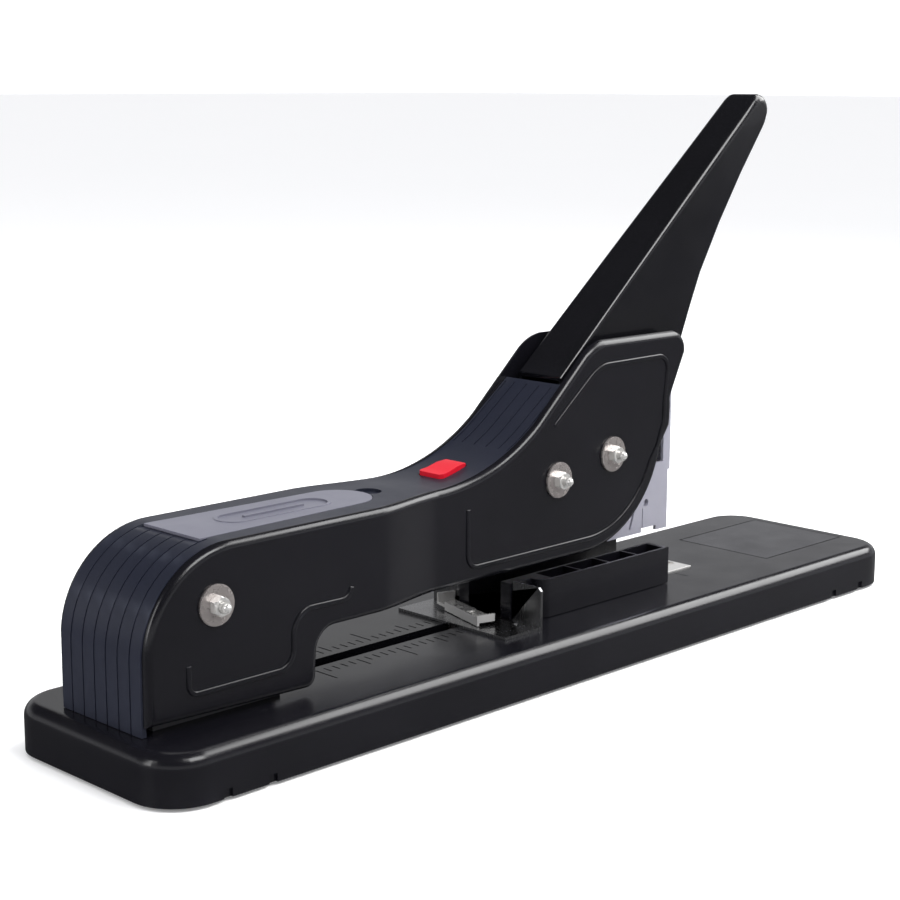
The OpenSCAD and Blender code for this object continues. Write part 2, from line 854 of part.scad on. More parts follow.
module inner_arm() {
    inner_half = head_half_width - head_wall;
    color(steel)
        difference() {
            union() {
                across(-head_half_width, head_half_width)
                    polygon(concat([[arm_front, head_bottom + 3], [arm_front, arm_top],
                                    [rear_bolt_x + 22, arm_top]],
                                   arc(rear_bolt_x, rear_bolt_z, 10, 60, 235, 10),
                                   [[-168, head_bottom + 6], [-150, head_bottom + 3]]));
            }
            block([-260, -inner_half, 0], [arm_front + 1, inner_half, arm_top - head_wall]);
            block([-260, -inner_half, 0], [-200, inner_half, 100]);
            bar(rear_bolt_x, rear_bolt_z, bolt_diameter + 2 * pin_clearance, -30, 30);
            bar(latch_x, latch_z, latch_pin_diameter + 2 * pin_clearance, -30, 30);
            // window that the latch works through
            block([latch_x - 14, -4.5, arm_top - 4], [latch_x + 16, 4.5, arm_top + 1]);
        }
    color(steel)
        for (s = [-1, 1]) {
            // lips that carry the magazine
            block([-66, s > 0 ? 6.4 : -inner_half - 0.2, head_bottom + 0.2],
                  [arm_front, s > 0 ? inner_half + 0.2 : -6.4, head_bottom + 1.5]);
            block([-66, s > 0 ? inner_half : -head_half_width, head_bottom + 0.2],
                  [arm_front, s > 0 ? head_half_width : -inner_half, head_bottom + 3.5]);
        }
    // bridge that carries the arm spring
    color(steel)
        block([-196, -inner_half - 0.1, head_bottom + 8], [-182, inner_half + 0.1, head_bottom + 9.6]);
}

module arm_spring() {
    color(steel)
        coil(-189, 0, deck + 2.5, head_bottom + 8, 12, 1.8, 7);
}

module head_frame() {
    inner_half = head_half_width - head_wall;
    top = 131;
    color(zinc) {
        for (s = [-1, 1])
            difference() {
                across(s > 0 ? inner_half : -head_half_width, s > 0 ? head_half_width : -inner_half)
                    polygon([[arm_front + 0.1, head_bottom], [staple_line - 21, head_bottom],
                             [staple_line - 21, head_bottom + 2.2], [staple_line - 9, head_bottom + 2.2],
                             [staple_line - 9, head_bottom - 0.4], [staple_line + 0.4, head_bottom - 0.4],
                             [staple_line + 0.4, 126], [staple_line - 5, top], [staple_line - 34, top],
                             [staple_line - 34, 92], [arm_front + 0.1, 86]]);
                bar(staple_line - 17.5, head_bottom + 15.8, 4, -20, 20);
                // upright slot that the drive pin passes down
                block([drive_x - 4, -20, drive_z - driver_stroke - 4.4],
                      [drive_x + 7.2, 20, drive_z + 4]);
                // slanted slot of the side plate
                across(-20, 20)
                    polygon([[staple_line - 31.6, head_bottom + 3], [staple_line - 30, head_bottom + 3],
                             [staple_line - 26.8, head_bottom + 13], [staple_line - 28.4, head_bottom + 13]]);
                // stepped line of the magazine seat
                across(s > 0 ? head_half_width - 0.4 : -head_half_width - 1,
                       s > 0 ? head_half_width + 1 : -head_half_width + 0.4)
                    polygon([[staple_line - 20.6, head_bottom + 1], [staple_line - 20, head_bottom + 1],
                             [staple_line - 20, head_bottom + 13], [staple_line - 20.6, head_bottom + 13]]);
            }
        // lips under the magazine
        for (s = [-1, 1])
            block([arm_front + 0.1, s > 0 ? 6.4 : -inner_half - 0.1, head_bottom + 0.2],
                  [staple_line - 24, s > 0 ? inner_half + 0.1 : -6.4, head_bottom + 1.5]);
        // front of the driver guide
        block([staple_line + 0.4, -head_half_width, crown_top + 4.5], [staple_line + 2, head_half_width, 126]);
        // shelf of the driver spring
        block([arm_front + 15, -inner_half - 0.1, crown_top + 1.4],
              [arm_front + 35.5, inner_half + 0.1, crown_top + 3]);
        // bridge riveted to the arm
        block([arm_front + 0.1, -inner_half - 0.1, arm_top - 1.7], [arm_front + 15, inner_half + 0.1, arm_top]);
    }
}

spring_x = staple_line - 23;
spring_seat = crown_top + 3;
block_low = spring_seat + driver_stroke + 0.6;

module driver_block() {
    color(steel)
        difference() {
            block([staple_line - 31, -7.7, block_low], [blade_x, 7.7, block_low + 20]);
            translate([spring_x, 0, block_low - 1])
                cylinder(d = 12.6, h = 15);
            // level slot that the drive pin slides in
            across(-10, 10)
                drive_slot(0.35);
        }
}

// side view of the level slot; grow is the clearance around the pin
module drive_slot(grow) {
    r = drive_diameter / 2 + grow;
    translate([drive_x - 0.4, drive_z])
        circle(r);
    translate([drive_x + 3.6, drive_z])
        circle(r);
    translate([drive_x - 0.4, drive_z - r])
        square([4, 2 * r]);
}

module driver_blade() {
    color(chrome)
        block([blade_x, -crown_half, crown_top + 1], [staple_line, crown_half, block_low + 18]);
}

module driver_spring() {
    color(steel)
        coil(spring_x, 0, spring_seat, block_low + 14, 11, 1.3, 8);
}

module magazine_channel() {
    color(steel) {
        block([magazine_rear, -magazine_outer, magazine_floor],
              [blade_x - 0.2, magazine_outer, magazine_floor + 1]);
        for (s = [-1, 1])
            block([magazine_rear, s > 0 ? magazine_inner : -magazine_outer, magazine_floor],
                  [blade_x - 0.2, s > 0 ? magazine_outer : -magazine_inner, crown_top - 2]);
        // end wall that the latch holds
        block([magazine_rear, -magazine_outer, magazine_floor],
              [magazine_rear + 1.6, magazine_outer, end_wall_top]);
    }
}

// core the staples ride on, an upturned channel with a slot along its top
module magazine_rail() {
    half = crown_half - staple_wire - 0.15;
    top = crown_top - staple_wire - 0.2;
    color(steel)
        difference() {
            block([rail_rear, -half, magazine_floor + 1], [blade_x - 0.2, half, top]);
            block([rail_rear - 1, -half + 1.4, magazine_floor], [blade_x - 3, half - 1.4, top - 1.4]);
            block([rail_rear - 1, -1.5, top - 3], [pusher_x + 2, 1.5, top + 1]);
        }
}

module magazine_front() {
    color(zinc)
        difference() {
            union() {
                block([staple_line + 0.5, -8, head_bottom - 0.4], [staple_line + 2.4, 8, crown_top + 4]);
                for (s = [-1, 1])
                    block([blade_x - 0.2, s > 0 ? magazine_inner : -8, magazine_floor],
                          [staple_line + 0.5, s > 0 ? 8 : -magazine_inner, crown_top - 2]);
            }
            translate([staple_line + 2.4, 0, head_bottom + 15])
                cube([1, 9, 12], center = true);
        }
}

module staple_strip() {
    color([0.75, 0.76, 0.78])
        difference() {
            block([strip_front - strip_length, -crown_half, leg_bottom], [strip_front, crown_half, crown_top]);
            block([strip_front - strip_length - 1, -crown_half + staple_wire, leg_bottom - 1],
                  [strip_front + 1, crown_half - staple_wire, crown_top - staple_wire]);
        }
}

pusher_x = strip_front - strip_length;
rod_z = crown_top - 11;
rail_rear = magazine_rear + 32;

// saddle that rides on the rail and pushes the strip, with a stem down to the spring
module pusher() {
    color([0.15, 0.15, 0.16])
        difference() {
            union() {
                difference() {
                    block([pusher_x - 12, -crown_half + 0.1, leg_bottom],
                          [pusher_x - 0.2, crown_half - 0.1, crown_top - 0.1]);
                    block([pusher_x - 13, -crown_half + staple_wire, leg_bottom - 1],
                          [pusher_x + 1, crown_half - staple_wire, crown_top - staple_wire]);
                }
                block([pusher_x - 8, -1.3, rod_z], [pusher_x - 4, 1.3, crown_top - 0.5]);
                translate([pusher_x - 8, 0, rod_z])
                    rotate([0, 90, 0])
                        cylinder(d = 6.4, h = 4);
            }
            translate([pusher_x - 9, 0, rod_z])
                rotate([0, 90, 0])
                    cylinder(d = 3.2, h = 7);
        }
}

module pusher_rod() {
    color(steel)
        translate([magazine_rear + 1.6, 0, rod_z])
            rotate([0, 90, 0])
                cylinder(d = 3, h = blade_x - 4.8 - magazine_rear);
}

// spring at the length it has behind a full strip
module pusher_spring() {
    color(steel)
        translate([pusher_x - 8, 0, rod_z])
            rotate([0, -90, 0])
                coil(0, 0, 0, 50, 7, 0.9, 12);
}

latch_x = magazine_rear + 11.4;
latch_z = crown_top - 0.2;
latch_pin_diameter = 2.4;
end_wall_top = crown_top - 1;
hook_z = end_wall_top + slide_gap;
stem_x = latch_x + 7.6;
stem_low = latch_z + 1.8;

module release_latch() {
    color(steel)
        difference() {
            across(-3.6, 3.6)
                polygon(concat([[latch_x - 10.6, hook_z], [latch_x - 8.6, hook_z],
                                [latch_x - 7.2, latch_z - 1.1]],
                               arc(latch_x, latch_z, 2.6, 210, 330, 6),
                               [[latch_x + 10.6, latch_z - 0.4], [latch_x + 10.6, latch_z + 1.3]],
                               arc(latch_x, latch_z, 2.6, 30, 150, 6),
                               [[latch_x - 10.6, latch_z + 1.3]]));
            bar(latch_x, latch_z, latch_pin_diameter + 2 * pin_clearance, -9, 9);
        }
}

// pin of the latch, carried by the side walls of the arm
module latch_pin() {
    color(chrome)
        bar(latch_x, latch_z, latch_pin_diameter, -head_half_width - 0.4, head_half_width + 0.4);
}

// ---- depth stop ----

stop_rear = stop_face - stop_length;
stop_bottom = deck + 0.3;
stop_top = deck + stop_height;
plate_x = stop_rear - 14;

module stop_wing() {
    wall = 1.6;
    cells = 4;
    cell = (stop_length - 9 - wall) / cells;
    difference() {
        union() {
            block([stop_rear + 6, stop_gap_half, stop_bottom], [stop_face, stop_half_width, stop_top]);
            block([stop_rear, stop_gap_half, stop_bottom], [stop_rear + 7, stop_half_width - 6, stop_top]);
            translate([stop_rear + 6, stop_half_width - 6, stop_bottom])
                cylinder(r = 6, h = stop_top - stop_bottom);
        }
        for (i = [0 : cells - 1])
            block([stop_rear + 9 + cell * i, stop_gap_half + wall, stop_bottom + 2],
                  [stop_rear + 9 + cell * (i + 1) - wall, stop_half_width - wall, stop_top + 1]);
    }
}

module stop_block() {
    color(black) {
        stop_wing();
        mirror([0, 1, 0])
            stop_wing();
        // floor that joins the wings behind the head
        block([stop_rear + 0.5, -stop_gap_half - 0.1, stop_bottom + 1.2],
              [stop_rear + 16, stop_gap_half + 0.1, stop_bottom + 3.4]);
        for (s = [-1, 1])
            block([plate_x - 1, s > 0 ? stop_gap_half : -17.8, stop_bottom + 1.4],
                  [stop_rear + 1, s > 0 ? 17.8 : -stop_gap_half, stop_top]);
    }
}

module stop_bracket() {
    z0 = deck + 0.05;
    color(chrome)
        difference() {
            union() {
                block([plate_x - 25, -37, z0], [plate_x + 1.5, 37, z0 + 1.4]);
                block([plate_x, -37, z0], [plate_x + 1.5, 37, stop_top + 1.2]);
            }
            block([plate_x - 1, -18, deck + 1.5], [plate_x + 3, 18, 60]);
            for (s = [-1, 1])
                translate([plate_x, s * 37, stop_top + 1.2])
                    rotate([45, 0, 0])
                        cube([8, 2.4, 2.4], center = true);
            translate([plate_x - 12, 0, z0 - 1])
                cylinder(d = 4.4, h = 4);
        }
    // rivets that hold the block
    color(chrome)
        for (s = [-1, 1])
            translate([plate_x - 4, s * 24, z0 + 1.3])
                cylinder(d = 3.4, h = 0.8);
}

module stop_key() {
    color(steel) {
        block([plate_x - 22, -slot_half_width + 0.3, deck - 7.6],
              [plate_x + 60, slot_half_width - 0.3, deck - 0.2]);
        block([plate_x - 22, -slot_half_width - 1.2, deck - 9.6],
              [plate_x + 60, slot_half_width + 1.2, deck - 7]);
        translate([plate_x - 12, 0, deck - 0.5])
            cylinder(d = 4.2, h = 3.4);
    }
}

lever_x = plate_x - 12;

module stop_lever() {
    color(chrome)
        translate([lever_x, 0, 0])
            rotate([0, 0, -16])
                difference() {
                    union() {
                        translate([0, 0, deck + 1.6])
                            cylinder(d = 9, h = 2);
                        block([-5, -17, deck + 3.2], [5, 24, deck + 4.6]);
                        block([-5, 22.6, deck + 3.2], [5, 24, deck + 9]);
                        block([-5, -17, deck + 3.2], [5, -15.8, deck + 7]);
                        block([-5, -17, deck + 1.8], [-3.8, 16, deck + 6.2]);
                    }
                    translate([0, 0, deck - 2])
                        cylinder(d = 4.4, h = 14);
                    block([-1.2, 7, deck], [1.2, 15, deck + 7]);
                }
}

module lever_pin() {
    color(chrome)
        translate([lever_x, 0, deck + 4.7])
            cylinder(d = 7, h = 1.2);
}

base_housing();
base_plate();
feet();
base_screws();
anvil_plate();
anvil_screws();
column_bracket();
bracket_screws();
cheek_near();
cheek_far();
top_cover();
staple_tray();
rear_bolt();
handle_bolt();
guide_bolt();
washers();
hex_nuts();
spacer_tubes();
lid();
release_button();
button_spring();
handle();
handle_spring();
drive_pin();
inner_arm();
arm_spring();
head_frame();
driver_block();
driver_blade();
driver_spring();
magazine_channel();
magazine_rail();
magazine_front();
staple_strip();
pusher();
pusher_rod();
pusher_spring();
release_latch();
latch_pin();
stop_block();
stop_bracket();
stop_key();
stop_lever();
lever_pin();
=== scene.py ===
import json
import math
import bpy
from mathutils import Matrix, Vector


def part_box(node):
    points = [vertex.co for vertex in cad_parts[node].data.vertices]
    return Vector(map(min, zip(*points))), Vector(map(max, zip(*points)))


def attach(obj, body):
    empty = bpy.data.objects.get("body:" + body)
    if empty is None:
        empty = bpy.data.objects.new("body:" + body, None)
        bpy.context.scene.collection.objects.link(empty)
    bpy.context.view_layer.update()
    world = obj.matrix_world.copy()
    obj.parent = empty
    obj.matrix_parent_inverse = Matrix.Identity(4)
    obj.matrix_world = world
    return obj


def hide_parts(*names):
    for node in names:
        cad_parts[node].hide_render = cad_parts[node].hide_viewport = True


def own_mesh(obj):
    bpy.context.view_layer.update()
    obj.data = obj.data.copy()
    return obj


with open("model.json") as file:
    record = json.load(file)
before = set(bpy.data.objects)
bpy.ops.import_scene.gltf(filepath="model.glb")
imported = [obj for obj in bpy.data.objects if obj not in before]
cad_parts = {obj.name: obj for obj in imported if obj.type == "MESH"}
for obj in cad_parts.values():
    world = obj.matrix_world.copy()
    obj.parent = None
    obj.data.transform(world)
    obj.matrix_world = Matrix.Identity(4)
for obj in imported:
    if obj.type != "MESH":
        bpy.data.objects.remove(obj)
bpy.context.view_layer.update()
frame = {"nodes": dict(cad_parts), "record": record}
print("frame loaded")

mm = 0.001

# values for cleaning up meshes: metres, except the angle in degrees
meshCare = {"seedSize": 0.002, "outlineWeld": 1e-5, "nodeWeld": 2e-6, "flatAngle": 0.6}


# small tools used by every piece

def deselectAll():
    if bpy.context.object and bpy.context.object.mode != "OBJECT":
        bpy.ops.object.mode_set(mode="OBJECT")
    bpy.ops.object.select_all(action="DESELECT")


def makeActive(obj):
    deselectAll()
    obj.select_set(True)
    bpy.context.view_layer.objects.active = obj


def arcPoints(cx, cz, radius, start, end, steps):
    points = []
    for i in range(steps + 1):
        a = math.radians(start + (end - start) * i / steps)
        points.append((cx + radius * math.cos(a), cz + radius * math.sin(a)))
    return points


# draws a closed side view in X and Z, point by point, and fills it (sizes in mm)
def traceOutline(name, points, y):
    deselectAll()
    x0, z0 = points[0]
    bpy.ops.mesh.primitive_plane_add(size=meshCare["seedSize"],
                                     location=(x0 * mm, y * mm, z0 * mm))
    obj = bpy.context.object
    obj.name = name
    obj.data.name = name
    bpy.ops.object.mode_set(mode="EDIT")
    bpy.ops.mesh.select_mode(type="VERT")
    bpy.ops.mesh.select_all(action="SELECT")
    bpy.ops.mesh.merge(type="CENTER")
    for (xa, za), (xb, zb) in zip(points, points[1:] + points[:1]):
        step = ((xb - xa) * mm, 0, (zb - za) * mm)
        bpy.ops.mesh.extrude_region_move(TRANSFORM_OT_translate={"value": step})
    bpy.ops.mesh.select_all(action="SELECT")
    bpy.ops.mesh.remove_doubles(threshold=meshCare["outlineWeld"])
    bpy.ops.mesh.edge_face_add()
    bpy.ops.object.mode_set(mode="OBJECT")
    placeAtOrigin(obj)
    return obj


def placeAtOrigin(obj):
    makeActive(obj)
    bpy.ops.object.transform_apply(location=True, rotation=True, scale=True)


def extrudeAll(obj, vector):
    makeActive(obj)
    bpy.ops.object.mode_set(mode="EDIT")
    bpy.ops.mesh.select_all(action="SELECT")
    step = [v * mm for v in vector]
    bpy.ops.mesh.extrude_region_move(TRANSFORM_OT_translate={"value": step})
    bpy.ops.mesh.select_all(action="SELECT")
    bpy.ops.mesh.normals_make_consistent(inside=False)
    bpy.ops.object.mode_set(mode="OBJECT")


# bevels the edges whose two end points both satisfy pick(point in mm)
def bevelPicked(obj, pick, width, segments=3):
    makeActive(obj)
    bpy.ops.object.mode_set(mode="EDIT")
    bpy.ops.mesh.select_mode(type="EDGE")
    bpy.ops.mesh.select_all(action="DESELECT")
    bpy.ops.object.mode_set(mode="OBJECT")
    count = 0
    for e in obj.data.edges:
        a, b = (obj.data.vertices[i].co / mm for i in e.vertices)
        e.select = bool(pick(a, b))
        count += e.select
    for f in obj.data.polygons:
        f.select = False
    bpy.ops.object.mode_set(mode="EDIT")
    if count:
        bpy.ops.mesh.bevel(offset=width * mm, segments=segments, profile=0.5, affect="EDGES",
                           clamp_overlap=True)
    bpy.ops.object.mode_set(mode="OBJECT")


# mergeable copy of a CAD node, its flat faces joined again
def copyNode(node, name):
    deselectAll()
    obj = frame["nodes"][node].copy()
    obj.data = obj.data.copy()
    obj.parent = None
    obj.matrix_world = Matrix.Identity(4)
    obj.name = name
    obj.data.name = name
    bpy.context.scene.collection.objects.link(obj)
    obj.hide_render = False
    obj.hide_viewport = False
    makeActive(obj)
    if obj.data.has_custom_normals:
        bpy.ops.mesh.customdata_custom_splitnormals_clear()
    bpy.ops.object.mode_set(mode="EDIT")
    bpy.ops.mesh.select_all(action="SELECT")
    bpy.ops.mesh.remove_doubles(threshold=meshCare["nodeWeld"])
    bpy.ops.mesh.dissolve_limited(angle_limit=math.radians(meshCare["flatAngle"]),
                                  use_dissolve_boundaries=False)
    bpy.ops.object.mode_set(mode="OBJECT")
    return obj


def roundEdges(obj, width, angle=34, segments=2):
    makeActive(obj)
    mod = obj.modifiers.new("edgeRound", "BEVEL")
    mod.width = width * mm
    mod.segments = segments
    mod.limit_method = "ANGLE"
    mod.angle_limit = math.radians(angle)
    mod.miter_outer = "MITER_ARC"
    bpy.ops.object.modifier_apply(modifier=mod.name)


def smooth(obj, angle=34):
    makeActive(obj)
    bpy.ops.object.shade_smooth_by_angle(angle=math.radians(angle))
    mod = obj.modifiers.new("faceWeight", "WEIGHTED_NORMAL")
    mod.keep_sharp = True
    mod.weight = 100
    bpy.ops.object.modifier_apply(modifier=mod.name)


def finish(obj, body, nodes, material):
    obj.data.materials.clear()
    obj.data.materials.append(material)
    for poly in obj.data.polygons:
        poly.material_index = 0
    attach(obj, body)
    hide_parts(*nodes)


# shared shader effects

def newGroup(name, inputs, outputs):
    group = bpy.data.node_groups.new(name, "ShaderNodeTree")
    for label, kind, value in inputs:
        socket = group.interface.new_socket(name=label, in_out="INPUT", socket_type=kind)
        socket.default_value = value
    for label, kind in outputs:
        group.interface.new_socket(name=label, in_out="OUTPUT", socket_type=kind)
    entry = group.nodes.new("NodeGroupInput")
    leave = group.nodes.new("NodeGroupOutput")
    entry.location = (-700, 0)
    leave.location = (500, 0)
    return group, entry, leave


# broad soft change over a surface, from Low to High
def makeDriftGroup():
    group, entry, leave = newGroup(
        "surfaceDrift",
        [("Scale", "NodeSocketFloat", 20.0), ("Low", "NodeSocketFloat", 0.2),
         ("High", "NodeSocketFloat", 0.3)],
        [("Value", "NodeSocketFloat")])
    n, l = group.nodes, group.links
    coord = n.new("ShaderNodeTexCoord")
    noise = n.new("ShaderNodeTexNoise")
    noise.inputs["Detail"].default_value = 5
    noise.inputs["Roughness"].default_value = 0.55
    span = n.new("ShaderNodeMapRange")
    span.inputs["From Min"].default_value = 0.3
    span.inputs["From Max"].default_value = 0.7
    l.new(coord.outputs["Object"], noise.inputs["Vector"])
    l.new(entry.outputs["Scale"], noise.inputs["Scale"])
    l.new(noise.outputs["Fac"], span.inputs["Value"])
    l.new(entry.outputs["Low"], span.inputs["To Min"])
    l.new(entry.outputs["High"], span.inputs["To Max"])
    l.new(span.outputs["Result"], leave.inputs["Value"])
    return group


# fine height for a moulded or painted skin
def makeGrainGroup():
    group, entry, leave = newGroup(
        "skinGrain",
        [("Scale", "NodeSocketFloat", 900.0), ("Wave Scale", "NodeSocketFloat", 60.0),
         ("Wave Share", "NodeSocketFloat", 0.3)],
        [("Height", "NodeSocketFloat")])
    n, l = group.nodes, group.links
    coord = n.new("ShaderNodeTexCoord")
    fine = n.new("ShaderNodeTexNoise")
    fine.inputs["Detail"].default_value = 3
    wave = n.new("ShaderNodeTexNoise")
    wave.inputs["Detail"].default_value = 1
    mix = n.new("ShaderNodeMix")
    l.new(coord.outputs["Object"], fine.inputs["Vector"])
    l.new(coord.outputs["Object"], wave.inputs["Vector"])
    l.new(entry.outputs["Scale"], fine.inputs["Scale"])
    l.new(entry.outputs["Wave Scale"], wave.inputs["Scale"])
    l.new(entry.outputs["Wave Share"], mix.inputs["Factor"])
    l.new(fine.outputs["Fac"], mix.inputs["A"])
    l.new(wave.outputs["Fac"], mix.inputs["B"])
    l.new(mix.outputs["Result"], leave.inputs["Height"])
    return group


# drawn lines of rolled or brushed metal, long along one axis
def makeBrushGroup():
    group, entry, leave = newGroup(
        "brushLines",
        [("Stretch", "NodeSocketVector", (20.0, 900.0, 900.0)), ("Low", "NodeSocketFloat", 0.2),
         ("High", "NodeSocketFloat", 0.35)],
        [("Value", "NodeSocketFloat"), ("Height", "NodeSocketFloat")])
    n, l = group.nodes, group.links
    coord = n.new("ShaderNodeTexCoord")
    place = n.new("ShaderNodeVectorMath")
    place.operation = "MULTIPLY"
    noise = n.new("ShaderNodeTexNoise")
    noise.inputs["Scale"].default_value = 1.0
    noise.inputs["Detail"].default_value = 4
    span = n.new("ShaderNodeMapRange")
    span.inputs["From Min"].default_value = 0.3
    span.inputs["From Max"].default_value = 0.7
    l.new(coord.outputs["Object"], place.inputs[0])
    l.new(entry.outputs["Stretch"], place.inputs[1])
    l.new(place.outputs["Vector"], noise.inputs["Vector"])
    l.new(noise.outputs["Fac"], span.inputs["Value"])
    l.new(entry.outputs["Low"], span.inputs["To Min"])
    l.new(entry.outputs["High"], span.inputs["To Max"])
    l.new(span.outputs["Result"], leave.inputs["Value"])
    l.new(noise.outputs["Fac"], leave.inputs["Height"])
    return group


# mask that is high on rubbed convex edges, broken up by noise
def makeWearGroup():
    group, entry, leave = newGroup(
        "edgeRub",
        [("Reach", "NodeSocketFloat", 0.56), ("Break Up", "NodeSocketFloat", 120.0)],
        [("Mask", "NodeSocketFloat")])
    n, l = group.nodes, group.links
    geo = n.new("ShaderNodeNewGeometry")
    coord = n.new("ShaderNodeTexCoord")
    noise = n.new("ShaderNodeTexNoise")
    noise.inputs["Detail"].default_value = 4
    span = n.new("ShaderNodeMapRange")
    span.inputs["From Max"].default_value = 0.68
    times = n.new("ShaderNodeMath")
    times.operation = "MULTIPLY"
    l.new(coord.outputs["Object"], noise.inputs["Vector"])
    l.new(entry.outputs["Break Up"], noise.inputs["Scale"])
    l.new(entry.outputs["Reach"], span.inputs["From Min"])
    l.new(geo.outputs["Pointiness"], span.inputs["Value"])
    l.new(span.outputs["Result"], times.inputs[0])
    l.new(noise.outputs["Fac"], times.inputs[1])
    l.new(times.outputs["Value"], leave.inputs["Mask"])
    return group


driftGroup = makeDriftGroup()
grainGroup = makeGrainGroup()
brushGroup = makeBrushGroup()
wearGroup = makeWearGroup()


def addGroup(nodes, group, **values):
    node = nodes.new("ShaderNodeGroup")
    node.node_tree = group
    for key, value in values.items():
        node.inputs[key.replace("_", " ")].default_value = value
    return node


def startMaterial(name, metallic=0.0, ior=1.5, coat=0.0, coatRoughness=0.05):
    material = bpy.data.materials.new(name)
    material.use_nodes = True
    shader = material.node_tree.nodes["Principled BSDF"]
    shader.inputs["Metallic"].default_value = metallic
    shader.inputs["IOR"].default_value = ior
    shader.inputs["Coat Weight"].default_value = coat
    shader.inputs["Coat Roughness"].default_value = coatRoughness
    return material, material.node_tree.nodes, material.node_tree.links, shader


def linkBump(nodes, links, shader, height, strength, distance):
    bump = nodes.new("ShaderNodeBump")
    bump.inputs["Strength"].default_value = strength
    bump.inputs["Distance"].default_value = distance * mm
    links.new(height, bump.inputs["Height"])
    links.new(bump.outputs["Normal"], shader.inputs["Normal"])


# plastic or paint: two close colours, a rough range, a fine skin and rubbed edges
def skinMaterial(name, dark, light, rough, grain=(900.0, 0.06), drift=14.0, rub=None,
                 coat=0.0, ior=1.5, waveShare=0.3):
    material, nodes, links, shader = startMaterial(name, coat=coat, ior=ior)
    tone = addGroup(nodes, driftGroup, Scale=drift, Low=0.0, High=1.0)
    mix = nodes.new("ShaderNodeMix")
    mix.data_type = "RGBA"
    mix.inputs["A"].default_value = (*dark, 1)
    mix.inputs["B"].default_value = (*light, 1)
    links.new(tone.outputs["Value"], mix.inputs["Factor"])
    colour = mix.outputs["Result"]
    if rub:
        wear = addGroup(nodes, wearGroup, Reach=0.54, Break_Up=160.0)
        edge = nodes.new("ShaderNodeMix")
        edge.data_type = "RGBA"
        edge.inputs["B"].default_value = (*rub, 1)
        links.new(wear.outputs["Mask"], edge.inputs["Factor"])
        links.new(colour, edge.inputs["A"])
        colour = edge.outputs["Result"]
    links.new(colour, shader.inputs["Base Color"])
    gloss = addGroup(nodes, driftGroup, Scale=drift * 3.1, Low=rough[0], High=rough[1])
    links.new(gloss.outputs["Value"], shader.inputs["Roughness"])
    skin = addGroup(nodes, grainGroup, Scale=grain[0], Wave_Share=waveShare)
    linkBump(nodes, links, shader, skin.outputs["Height"], grain[1], 0.25)
    return material


# metal: two close colours, drawn lines and a rough range
def metalMaterial(name, dark, light, rough, stretch, lines=0.05, drift=30.0, metallic=1.0):
    material, nodes, links, shader = startMaterial(name, metallic=metallic)
    tone = addGroup(nodes, driftGroup, Scale=drift, Low=0.0, High=1.0)
    mix = nodes.new("ShaderNodeMix")
    mix.data_type = "RGBA"
    mix.inputs["A"].default_value = (*dark, 1)
    mix.inputs["B"].default_value = (*light, 1)
    links.new(tone.outputs["Value"], mix.inputs["Factor"])
    links.new(mix.outputs["Result"], shader.inputs["Base Color"])
    brush = addGroup(nodes, brushGroup, Stretch=stretch, Low=rough[0], High=rough[1])
    links.new(brush.outputs["Value"], shader.inputs["Roughness"])
    linkBump(nodes, links, shader, brush.outputs["Height"], lines, 0.2)
    return material


shellBlack = skinMaterial("shellBlack", (0.0038, 0.0037, 0.0055), (0.0055, 0.0053, 0.0077), (0.2, 0.27),
                          grain=(1300.0, 0.03), rub=(0.02, 0.02, 0.026), waveShare=0.02)
handleBlack = skinMaterial("handleBlack", (0.003, 0.003, 0.0042), (0.0045, 0.0045, 0.006), (0.18, 0.25),
                           grain=(700.0, 0.02), rub=(0.015, 0.015, 0.02), coat=0.2, waveShare=0.05)
coverSlate = skinMaterial("coverSlate", (0.013, 0.015, 0.026), (0.017, 0.019, 0.031), (0.34, 0.42),
                          grain=(1100.0, 0.05), rub=(0.05, 0.055, 0.075), waveShare=0.02, ior=1.33)
lidSmoke = skinMaterial("lidSmoke", (0.12, 0.12, 0.155), (0.145, 0.145, 0.18), (0.3, 0.38),
                        grain=(900.0, 0.04), waveShare=0.02, ior=1.4)
innerPlastic = skinMaterial("innerPlastic", (0.03, 0.03, 0.034), (0.04, 0.04, 0.044), (0.4, 0.55))
buttonRed = skinMaterial("buttonRed", (0.52, 0.004, 0.016), (0.60, 0.007, 0.022), (0.34, 0.42),
                           grain=(900.0, 0.03), rub=(0.7, 0.06, 0.07), ior=1.3)
underPaint = skinMaterial("underPaint", (0.03, 0.03, 0.034), (0.045, 0.045, 0.05), (0.35, 0.5))
footRubber = skinMaterial("footRubber", (0.015, 0.015, 0.015), (0.025, 0.025, 0.024), (0.6, 0.8),
                          grain=(1500.0, 0.2))
rulerPaint = skinMaterial("rulerPaint", (0.004, 0.004, 0.005), (0.008, 0.008, 0.009), (0.55, 0.7))
brightNickel = metalMaterial("brightNickel", (0.78, 0.77, 0.75), (0.86, 0.85, 0.83), (0.16, 0.24),
                             (60, 60, 60), lines=0.01, metallic=0.7)
platedSteel = metalMaterial("platedSteel", (0.20, 0.20, 0.205), (0.28, 0.28, 0.285), (0.2, 0.3),
                            (500, 500, 40), lines=0.04)
boltSteel = metalMaterial("boltSteel", (0.66, 0.62, 0.58), (0.78, 0.74, 0.70), (0.14, 0.24),
                          (200, 200, 200), lines=0.03, metallic=0.88)
washerSteel = metalMaterial("washerSteel", (0.34, 0.31, 0.30), (0.42, 0.385, 0.375), (0.22, 0.32),
                            (200, 200, 200), lines=0.03, metallic=0.7)
zincSheet = metalMaterial("zincSheet", (0.38, 0.375, 0.44), (0.44, 0.435, 0.50), (0.3, 0.42),
                          (40, 900, 900), lines=0.03, metallic=0.45)
